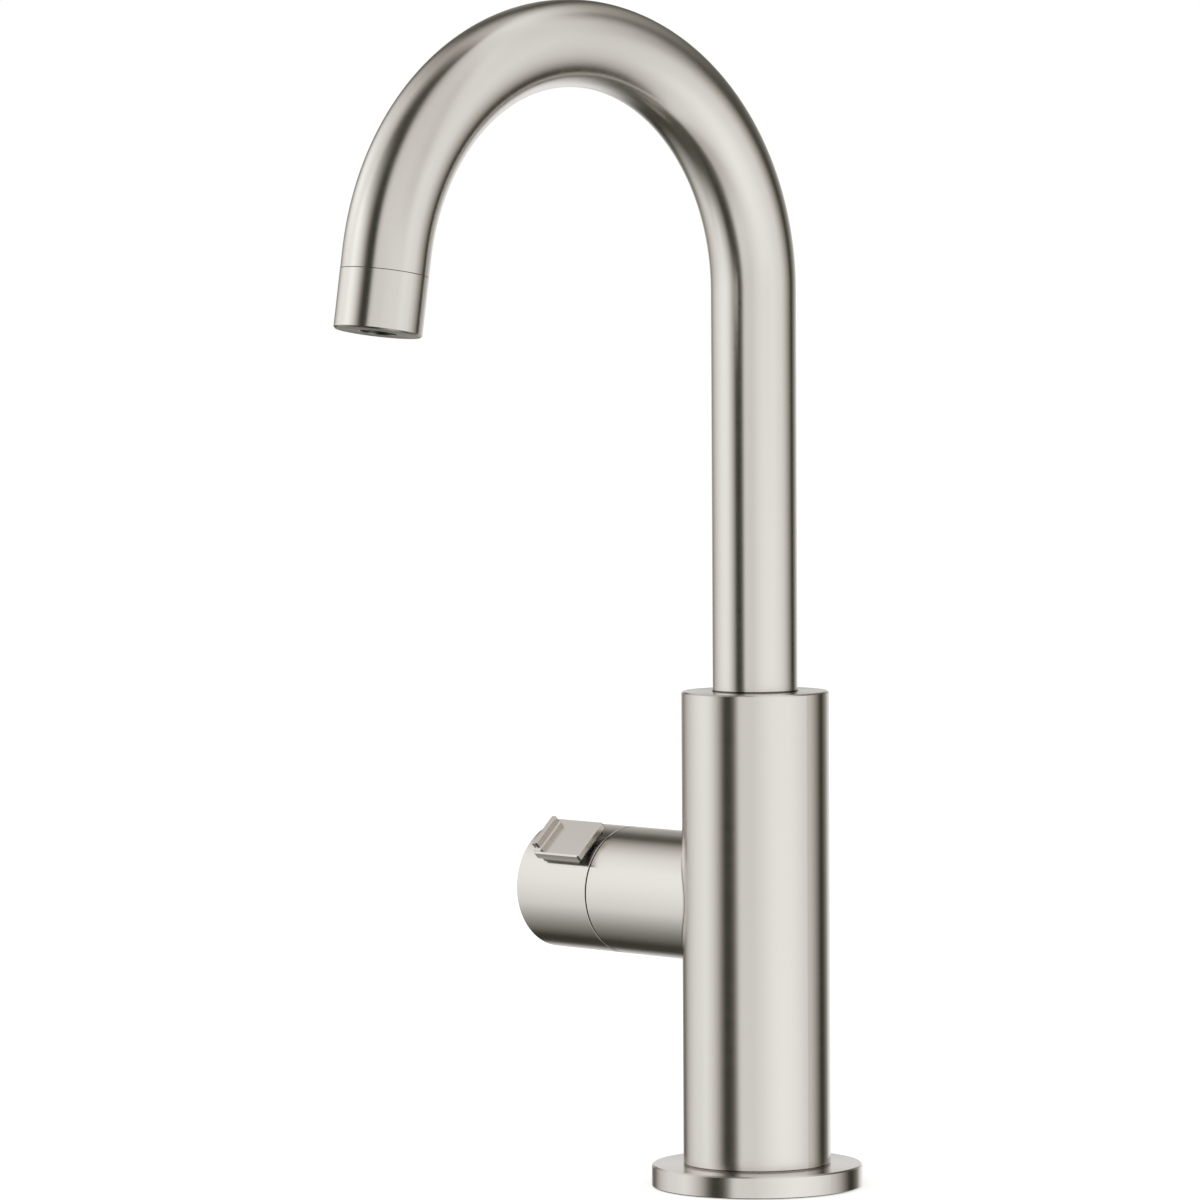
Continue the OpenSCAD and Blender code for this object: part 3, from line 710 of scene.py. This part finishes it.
def threaded_sleeve_tree() -> GeometryTree:
    """Makes the tree of a hollow shank whose outside carries a screw thread."""
    tree = GeometryTree(
        "threaded_sleeve", crest=0.014, core=0.013, bore=0.012, pitch=0.0015, foot=-0.06, top=0.0,
        rows=320, around=72,
    )
    graph, given = tree.graph, tree.given
    grid, share, inside, angle = looped_grid(tree)
    length = graph.math("SUBTRACT", given["top"], given["foot"])
    z = graph.math("MULTIPLY_ADD", share, length, given["foot"])
    root, tip = 0.12, 0.88
    above_zero = 1000
    turns = graph.math("DIVIDE", z, given["pitch"])
    lag = graph.math("DIVIDE", angle, 2 * math.pi)
    count = graph.math("ADD", graph.math("SUBTRACT", turns, lag), above_zero)
    phase = graph.math("FRACT", count)
    wave = graph.math("ABSOLUTE", graph.math("MULTIPLY_ADD", phase, 2, -1))
    flank = graph.ramp(wave, root, tip)
    low = graph.math("DIVIDE", graph.math("SUBTRACT", z, given["foot"]), given["pitch"])
    high = graph.math("DIVIDE", graph.math("SUBTRACT", given["top"], z), given["pitch"])
    fade = graph.math("MINIMUM", graph.math("MINIMUM", low, high), 1)
    depth = graph.math("SUBTRACT", given["crest"], given["core"])
    ridge = graph.math("MULTIPLY", graph.math("MULTIPLY", flank, fade), depth)
    outer = graph.math("ADD", given["core"], ridge)
    radius = graph.math(
        "MULTIPLY_ADD", inside, graph.math("SUBTRACT", given["bore"], outer), outer
    )
    x = graph.math("MULTIPLY", radius, graph.math("COSINE", angle))
    y = graph.math("MULTIPLY", radius, graph.math("SINE", angle))
    tree.close(grid, graph.xyz(x, y, z))
    return tree


@dataclass
class Spout:
    """The swivel spout: its bent tube, the hose inside it and the nozzle."""

    tube_r: float = 11.085 * MM
    tube_bore: float = 9.9 * MM
    hose_r: float = 4 * MM
    hose_bore: float = 2.5 * MM
    hose_tip: float = 14.7 * MM

    def build(self) -> None:
        """Makes the two bent tubes and dresses the rest."""
        tree = bent_tube_tree()
        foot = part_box("spout_tube")[0].z
        hose_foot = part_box("inner_hose")[0].z
        shared = {
            "arch_height": LAYOUT.arch_h, "arch_radius": LAYOUT.arch_r, "sweep": LAYOUT.arch_sweep
        }
        tube = tree.grow(
            "spout_tube_smooth", NICKEL.material(Grain.ARCH),
            radius=self.tube_r, bore=self.tube_bore, foot=foot, tip=LAYOUT.tip_len, **shared,
        )
        hose = tree.grow(
            "inner_hose_smooth", POLYMER.material(),
            radius=self.hose_r, bore=self.hose_bore, foot=hose_foot, tip=self.hose_tip,
            around=40, **shared,
        )
        for piece, node, slot in (
            (tube, "spout_tube", "brushed_nickel"), (hose, "inner_hose", "white_polymer")
        ):
            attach(piece, "spout")
            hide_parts(node)
        dress(NICKEL.material(Grain.NOZZLE), "nozzle_shell")
        dress(BRASS.material(Grain.COLUMN), "spout_journal")
        dress(RUBBER.material(), "journal_o_rings", "nozzle_o_ring")
        dress(POLYMER.material(), "nozzle_insert")
        dress(OUTLET.material(), "flow_straightener")


@dataclass
class Column:
    """The fixed column with its flange, hub sleeve, core and swivel bearings."""

    def build(self) -> None:
        """Dresses the column's pieces."""
        dress(NICKEL.material(Grain.COLUMN), "base_flange", "body_shell")
        dress(NICKEL.material(Grain.HUB), "hub_sleeve")
        dress(BRASS.material(Grain.COLUMN), "valve_body")
        dress(POLYMER.material(), "swivel_bush", "thrust_washer", "glide_ring")
        dress(RUBBER.material(), "base_gasket")
        dress(STEEL.material(Grain.COLUMN), "spout_set_screw")


@dataclass
class Cartridge:
    """The quarter-turn ceramic cartridge."""

    def build(self) -> None:
        """Dresses the cartridge's pieces."""
        dress(BRASS.material(Grain.HUB), "cartridge_housing", "retaining_nut", "valve_stem")
        dress(CERAMIC.material(), "fixed_disc", "moving_disc")
        dress(RUBBER.material(), "housing_o_ring", "seat_seal", "stem_o_rings")
        dress(POLYMER.material(), "slip_washer")
        dress(STEEL.material(Grain.HUB), "stem_clip")


@dataclass
class Handle:
    """The cap that turns the cartridge, with its thumb plate and set screw."""

    def build(self) -> None:
        """Dresses the handle's pieces."""
        dress(NICKEL.material(Grain.HUB), "handle_cap")
        dress(NICKEL.material(Grain.PLATE), "thumb_plate")
        dress(STEEL.material(Grain.HUB), "cap_set_screw")


@dataclass
class DeckMount:
    """The threaded shank under the deck with its washers and nut."""

    crest: float = 14 * MM
    core: float = 13.1 * MM
    bore: float = 11.75 * MM
    pitch: float = 1.5 * MM
    thread_top: float = -0.5 * MM
    collar_foot: float = 6 * MM
    steps: int = 72

    def build(self) -> None:
        """Makes the threaded shank and dresses the rest."""
        low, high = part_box("mounting_shank")
        brass = BRASS.material(Grain.COLUMN)
        shank = threaded_sleeve_tree().grow(
            "threaded_shank", brass,
            crest=self.crest, core=self.core, bore=self.bore, pitch=self.pitch,
            foot=low.z, top=self.thread_top,
        )
        collar = self._collar(high.x, high.z)
        collar.data.materials.append(brass)
        with bpy.context.temp_override(
            active_object=shank, object=shank,
            selected_objects=[shank, collar], selected_editable_objects=[shank, collar],
        ):
            bpy.ops.object.join()
        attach(shank, "column")
        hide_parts("mounting_shank")
        dress(RUBBER.material(), "deck_washer")
        dress(STEEL.material(Grain.COLUMN), "clamp_washer")
        dress(brass, "mounting_nut")

    def _collar(self, collar_r: float, top: float) -> bpy.types.Object:
        """Makes the plain upper end of the shank with its collar.

        Args:
            collar_r: Radius of the collar.
            top: Height of its top.

        Returns:
            A closed turned mesh.
        """
        profile = [
            (self.crest, self.thread_top), (self.crest, self.collar_foot),
            (collar_r, self.collar_foot), (collar_r, top), (self.bore, top),
            (self.bore, self.thread_top),
        ]
        points, faces = [], []
        count = len(profile)
        for i in range(self.steps):
            turn = 2 * math.pi * i / self.steps
            points += [(r * math.cos(turn), r * math.sin(turn), z) for r, z in profile]
            here, there = i * count, (i + 1) % self.steps * count
            faces += [
                (here + k, there + k, there + (k + 1) % count, here + (k + 1) % count)
                for k in range(count)
            ]
        mesh = bpy.data.meshes.new("shank_collar")
        mesh.from_pydata(points, [], faces)
        mesh.shade_smooth()
        mesh.set_sharp_from_angle(angle=SHARP_ANGLE)
        piece = bpy.data.objects.new("shank_collar", mesh)
        bpy.context.scene.collection.objects.link(piece)
        return piece


@dataclass(frozen=True)
class View:
    """The photograph's viewpoint."""

    azimuth: float = math.radians(46.387)
    yaw: float = math.radians(1.322)
    pitch: float = math.radians(-2.903)
    roll: float = math.radians(-0.317)
    distance: float = 1750.48 * MM
    height: float = 242.43 * MM
    sensor: float = 36
    focal: float = 6712.27 / 1200 * sensor

    def build(self) -> None:
        """Makes the camera."""
        heading = self.azimuth + self.yaw
        right = Vector((math.cos(heading), math.sin(heading), 0))
        ahead = Vector((
            -math.sin(heading) * math.cos(self.pitch),
            math.cos(heading) * math.cos(self.pitch),
            math.sin(self.pitch),
        ))
        up = right.cross(ahead)
        tilted = math.cos(self.roll) * right + math.sin(self.roll) * up
        upright = math.cos(self.roll) * up - math.sin(self.roll) * right
        place = Matrix((tilted, upright, -ahead)).transposed().to_4x4()
        place.translation = (
            self.distance * math.sin(self.azimuth),
            -self.distance * math.cos(self.azimuth),
            self.height,
        )
        data = bpy.data.cameras.new("photo_camera")
        data.lens = self.focal
        data.sensor_width = self.sensor
        data.clip_start, data.clip_end = 0.05, 50
        camera = bpy.data.objects.new("photo_camera", data)
        camera.matrix_world = place
        bpy.context.scene.collection.objects.link(camera)
        bpy.context.scene.camera = camera


@dataclass
class Studio:
    """Floor, soft light and the pale and dark screens that the metal reflects.

    The screens stand in rings, by their height from -1 straight down to 1 straight up. Each ring
    lists the levels of its bands by direction, in degrees to the right of the camera.
    """

    screen_r: float = 1.3
    screen_z: float = 0.15
    sky_level: float = 0.75
    floor_half: float = 12.0
    floor_z: float = -0.2 * MM
    floor_colour: Colour = (0.82, 0.82, 0.81)
    floor_glow: float = 0.4
    lamp_aim: Point = (0, 0, 0.12)
    warm_red: float = 0.4
    warm_blue: float = 0.27
    rings: dict[float, Bands] = field(default_factory=lambda: {
        -0.8: [
            (-180, 0.05), (-67, 0.1), (-56, 0.05), (-26, 0.1), (-18, 0.5), (10, 0.55), (25, 0.8),
            (55, 0.9), (70, 0.8), (94, 0.55), (104, 0.2), (113, 0.05), (180, 0.1),
        ],
        -0.4: [
            (-180, 1.0), (-172, 0.7), (-164, 0.05), (-148, 0), (-140, 0.3), (-130, 0.65),
            (-110, 0.85), (-98, 0.75), (-86, 0.95), (-75, 0.65), (-67, 0.5), (-61, 0.3),
            (-56, 0.02), (-43, 0.03), (-36, 0.1), (-31, 0.35), (-26, 0.88), (-5, 0.82),
            (10, 0.88), (40, 1.08), (70, 1.0), (82, 0.77), (94, 0.62), (104, 0.38),
            (113, 0.12), (120, 0), (141, 0.1), (150, 0.85), (160, 1.05), (180, 1.0),
        ],
        0.0: [
            (-180, 0.85), (-170, 0.75), (-160, 0.5), (-154, 0.2), (-148, 0.35), (-130, 0.6),
            (-110, 0.85), (-98, 1), (-75, 1), (-67, 0.78), (-61, 0.6), (-56, 0.4),
            (-50, 0.03), (-36, 0.03), (-31, 0.2), (-26, 0.8), (-18, 0.75), (-5, 0.72),
            (10, 0.87), (25, 0.98), (55, 0.98), (70, 0.88), (82, 0.84), (94, 0.64),
            (104, 0.43), (113, 0.25), (120, 0.04), (127, 0.02), (134, 0.2), (145, 0.4),
            (160, 0.8), (180, 0.85),
        ],
        0.4: [
            (-180, 0.1), (-172, 0.35), (-164, 0.15), (-156, 0), (-148, 0.4), (-130, 1.1),
            (-120, 1.2), (-98, 1.0), (-86, 1.3), (-67, 0.85), (-56, 0.4), (-47, 0.05),
            (-31, 0), (-26, 0.6), (-18, 0.8), (10, 0.8), (40, 0.65), (55, 0.85),
            (82, 0.9), (94, 0.5), (104, 0.3), (113, 0.05), (180, 0.1),
        ],
        0.8: [
            (-180, 0.05), (-165, 0.05), (-150, 0.15), (-140, 0.35), (-126, 0.42), (-110, 0.7),
            (-98, 0.6), (-86, 0.4), (-75, 0.1), (-67, 0.05), (-36, 0.05), (-26, 0.5), (-18, 0.7),
            (25, 0.7), (40, 0.6), (55, 1.0), (70, 0.75), (94, 0.85), (113, 0.35),
            (120, 0.12), (134, 0.35), (160, 0.4), (180, 0.05),
        ],
        0.95: [
            (-180, 0.6), (-144, 0.55), (-121, 0.35), (-98, 0.2), (-83, 0.15), (-67, 0.05),
            (-46, 0.05), (-28, 0.4), (-5, 0.65), (17, 0.7), (43, 0.8), (83, 0.85),
            (107, 0.95), (153, 0.9), (180, 0.65),
        ],
    })

    def build(self) -> None:
        """Makes the whole studio."""
        self._world()
        self._floor()
        self._screens()
        self._lamp("key_lamp", (1.3, -1.2, 1.5), 1.2, 9)
        self._lamp("fill_lamp", (-1.5, -0.6, 1.1), 1.4, 6)

    def _world(self) -> None:
        """Makes an even white world, a little dimmer where it lights matt surfaces."""
        world = bpy.data.worlds.new("studio_world")
        bpy.context.scene.world = world
        graph = cleared(world)
        path = graph.add("ShaderNodeLightPath").outputs
        shown = graph.math("MAXIMUM", path["Is Camera Ray"], path["Is Glossy Ray"])
        shown = graph.math("MAXIMUM", shown, path["Is Transmission Ray"])
        level = graph.math("MULTIPLY_ADD", shown, 1 - self.sky_level, self.sky_level)
        sky = graph.add("ShaderNodeBackground", {"Color": opaque(WHITE), "Strength": level})
        graph.add("ShaderNodeOutputWorld", {"Surface": sky})

    def _floor(self) -> None:
        """Makes the pale floor, which shows white and keeps the shadow."""
        mesh = bpy.data.meshes.new("studio_floor")
        corners = ((-1, -1), (1, -1), (1, 1), (-1, 1))
        points = [(x * self.floor_half, y * self.floor_half, self.floor_z) for x, y in corners]
        mesh.from_pydata(points, [], [(0, 1, 2, 3)])
        floor = bpy.data.objects.new("studio_floor", mesh)
        bpy.context.scene.collection.objects.link(floor)
        floor.visible_glossy = False
        material = bpy.data.materials.new("studio_floor")
        graph = cleared(material)
        seen = graph.add("ShaderNodeLightPath").outputs["Is Camera Ray"]
        matt = graph.add("ShaderNodeBsdfDiffuse", {"Color": opaque(self.floor_colour)})
        glow = graph.add(
            "ShaderNodeEmission",
            {"Color": opaque(WHITE), "Strength": graph.math("MULTIPLY", seen, self.floor_glow)},
        )
        both = graph.add("ShaderNodeAddShader", {0: matt, 1: glow})
        graph.add("ShaderNodeOutputMaterial", {"Surface": both})
        mesh.materials.append(material)

    def _screens(self) -> None:
        """Makes the round screen that only reflections see."""
        mesh = bpy.data.meshes.new("studio_screens")
        ball = bmesh.new()
        bmesh.ops.create_icosphere(ball, subdivisions=4, radius=self.screen_r)
        ball.to_mesh(mesh)
        ball.free()
        screens = bpy.data.objects.new("studio_screens", mesh)
        screens.location = (0, 0, self.screen_z)
        bpy.context.scene.collection.objects.link(screens)
        screens.visible_camera = False
        screens.visible_diffuse = False
        screens.visible_transmission = False
        screens.visible_shadow = False
        mesh.materials.append(self._screen_material())

    def _screen_material(self) -> bpy.types.Material:
        """Makes the screens' material from the rings of bands."""
        material = bpy.data.materials.new("studio_screens")
        graph = cleared(material)
        x, y, z = graph.split(graph.add("ShaderNodeTexCoord").outputs["Object"])
        heading = graph.math("ARCTAN2", x, graph.math("MULTIPLY", y, -1))
        turned = graph.math("SUBTRACT", heading, View().azimuth)
        above_zero = 1.5
        turns = graph.math("MULTIPLY_ADD", turned, 0.5 / math.pi, above_zero)
        share = graph.math("FRACT", turns)
        height = graph.math("DIVIDE", z, self.screen_r)
        heights = sorted(self.rings)
        colour = self._bands(graph, share, self.rings[heights[0]])
        for low, high in zip(heights, heights[1:]):
            weight = graph.ramp(height, low, high)
            colour = graph.blend(weight, colour, self._bands(graph, share, self.rings[high]))
        glow = graph.add("ShaderNodeEmission", {"Color": colour, "Strength": 1.0})
        graph.add("ShaderNodeOutputMaterial", {"Surface": glow})
        return material

    def _bands(self, graph: Graph, share: Socket, bands: Bands) -> Socket:
        """Returns the light for a share of the full turn, warmer where it is dim.

        Args:
            graph: The tree's graph.
            share: Socket with the direction, from 0 at 180 degrees left to 1 at 180 right.
            bands: Directions and levels.

        Returns:
            The light's colour.
        """
        ramp = graph.add("ShaderNodeValToRGB", {0: share})
        stops = ramp.color_ramp.elements
        while len(stops) > 1:
            stops.remove(stops[-1])
        for i, (angle, level) in enumerate(bands):
            stop = stops[0] if i == 0 else stops.new((angle + 180) / 360)
            stop.position = (angle + 180) / 360
            dim = max(1 - level, 0)
            red = 1 + self.warm_red * level * dim**2
            blue = 1 - self.warm_blue * dim**2.5
            stop.color = (level * red, level, level * blue, 1)
        return ramp.outputs[0]

    def _lamp(self, name: str, place: Point, size: float, power: float) -> None:
        """Makes one soft lamp aimed at the object.

        Args:
            name: Name of the lamp.
            place: Where it hangs.
            size: Side of its square face.
            power: Watts.
        """
        data = bpy.data.lights.new(name, "AREA")
        data.shape, data.size, data.energy = "SQUARE", size, power
        lamp = bpy.data.objects.new(name, data)
        aim = Vector(self.lamp_aim) - Vector(place)
        lamp.location = place
        lamp.rotation_euler = aim.to_track_quat("-Z", "Y").to_euler()
        lamp.visible_glossy = False
        bpy.context.scene.collection.objects.link(lamp)


def main() -> None:
    """Builds the object and its studio, in order."""
    logging.basicConfig(level=logging.INFO, format="%(name)s %(message)s")
    bpy.context.scene.view_settings.view_transform = "Standard"
    for part in (View(), Studio(), Column(), Spout(), Cartridge(), Handle(), DeckMount()):
        part.build()
        log.info("%s done", type(part).__name__)


if __name__ == "__main__":
    main()
